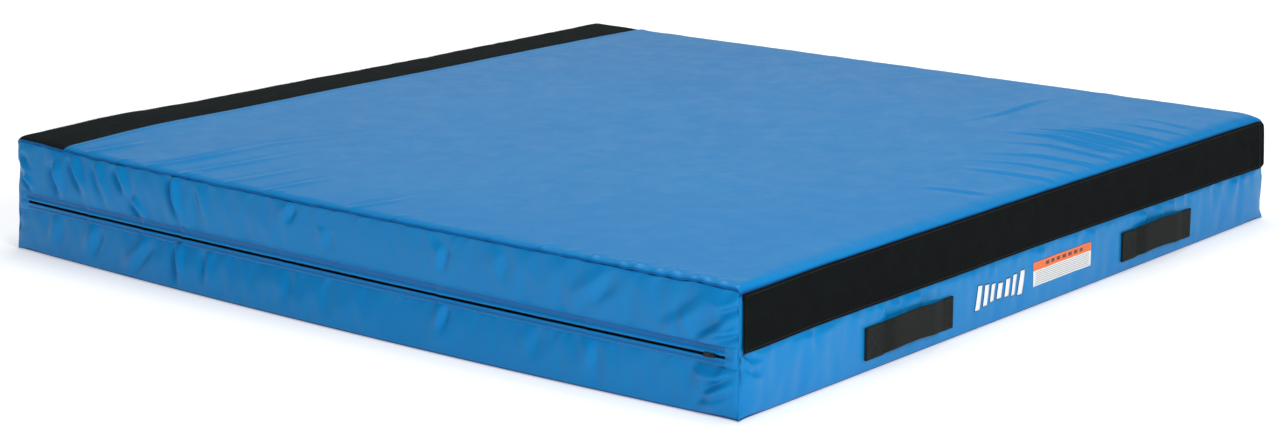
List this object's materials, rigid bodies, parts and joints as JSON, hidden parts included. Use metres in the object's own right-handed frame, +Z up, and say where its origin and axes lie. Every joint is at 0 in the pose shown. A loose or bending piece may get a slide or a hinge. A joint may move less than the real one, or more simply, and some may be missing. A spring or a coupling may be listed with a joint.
{
  "type": "gym landing mat",
  "caption": "Square foam landing mat in a zipped coated-cloth cover, with a hook-tape connector flap, a loop strip and webbing carry handles.",
  "frame": {"origin": "middle of the mat's underside, on the floor", "axes": "+Z up, +X along the flap edge away from the zip end, +Y from the flap edge towards the loop strip"},
  "size_m": [1.5305, 1.5476, 0.2],
  "materials": {
    "vinyl_blue": "satin",
    "vinyl_bottom": "matte",
    "foam_firm": "matte",
    "foam_soft": "matte",
    "foam_base": "matte",
    "zip_tape": "matte",
    "zip_nylon": "satin",
    "zip_metal": "satin",
    "black_cloth": "matte",
    "hook_tape": "matte",
    "loop_tape": "matte",
    "webbing": "matte",
    "label_print": "satin"
  },
  "bodies": {
    "mat": {"firm_top_foam": "foam_firm", "soft_core_foam": "foam_soft", "base_foam": "foam_base", "top_panel": "vinyl_blue", "bottom_panel": "vinyl_bottom", "front_side_panel": "vinyl_blue", "rear_side_panel": "vinyl_blue", "plain_end_panel": "vinyl_blue", "zip_end_upper_panel": "vinyl_blue", "zip_end_lower_panel": "vinyl_blue", "zip_upper_lip": "vinyl_blue", "zip_lower_lip": "vinyl_blue", "zip_upper_tape": "zip_tape", "zip_lower_tape": "zip_tape", "zip_upper_teeth": "zip_nylon", "zip_lower_teeth": "zip_nylon", "zip_top_stop": "zip_metal", "zip_bottom_stop": "zip_metal", "zip_near_end_stay": "vinyl_blue", "zip_far_end_stay": "vinyl_blue", "flap_anchor_hem": "hook_tape", "loop_strip": "loop_tape", "label_patch": "label_print", "front_left_handle_tab_a": "webbing", "front_left_handle_tab_b": "webbing", "front_right_handle_tab_a": "webbing", "front_right_handle_tab_b": "webbing", "rear_left_handle_tab_a": "webbing", "rear_left_handle_tab_b": "webbing", "rear_right_handle_tab_a": "webbing", "rear_right_handle_tab_b": "webbing"},
    "connector_flap": {"flap_backing": "black_cloth", "flap_hook_tape": "hook_tape"},
    "zip_slider": {"zip_slider_body": "zip_metal"},
    "zip_pull": {"zip_pull_tab": "zip_metal"},
    "front_left_grip": {"front_left_handle_grip": "webbing"},
    "front_right_grip": {"front_right_handle_grip": "webbing"},
    "rear_left_grip": {"rear_left_handle_grip": "webbing"},
    "rear_right_grip": {"rear_right_handle_grip": "webbing"}
  },
  "joints": [
    {"name": "flap_hinge", "type": "hinge", "parent": "mat", "child": "connector_flap", "pos_m": [0.002, -0.7656, 0.18], "axis": [-1, 0, 0], "range_deg": [0, 178]},
    {"name": "zip_travel", "type": "slide", "parent": "mat", "child": "zip_slider", "axis": [0, 1, 0], "range_m": [0, 1.438]},
    {"name": "pull_swing", "type": "hinge", "parent": "zip_slider", "child": "zip_pull", "pos_m": [-0.7664, -0.721, 0.088], "axis": [0, 0, 1], "range_deg": [0, 175]},
    {"name": "front_left_handle_lift", "type": "slide", "parent": "mat", "child": "front_left_grip", "axis": [0, -1, 0], "range_m": [0, 0.02], "stiffness_N_per_m": 200},
    {"name": "front_right_handle_lift", "type": "slide", "parent": "mat", "child": "front_right_grip", "axis": [0, -1, 0], "range_m": [0, 0.02], "stiffness_N_per_m": 200},
    {"name": "rear_left_handle_lift", "type": "slide", "parent": "mat", "child": "rear_left_grip", "axis": [0, 1, 0], "range_m": [0, 0.02], "stiffness_N_per_m": 200},
    {"name": "rear_right_handle_lift", "type": "slide", "parent": "mat", "child": "rear_right_grip", "axis": [0, 1, 0], "range_m": [0, 0.02], "stiffness_N_per_m": 200}
  ]
}
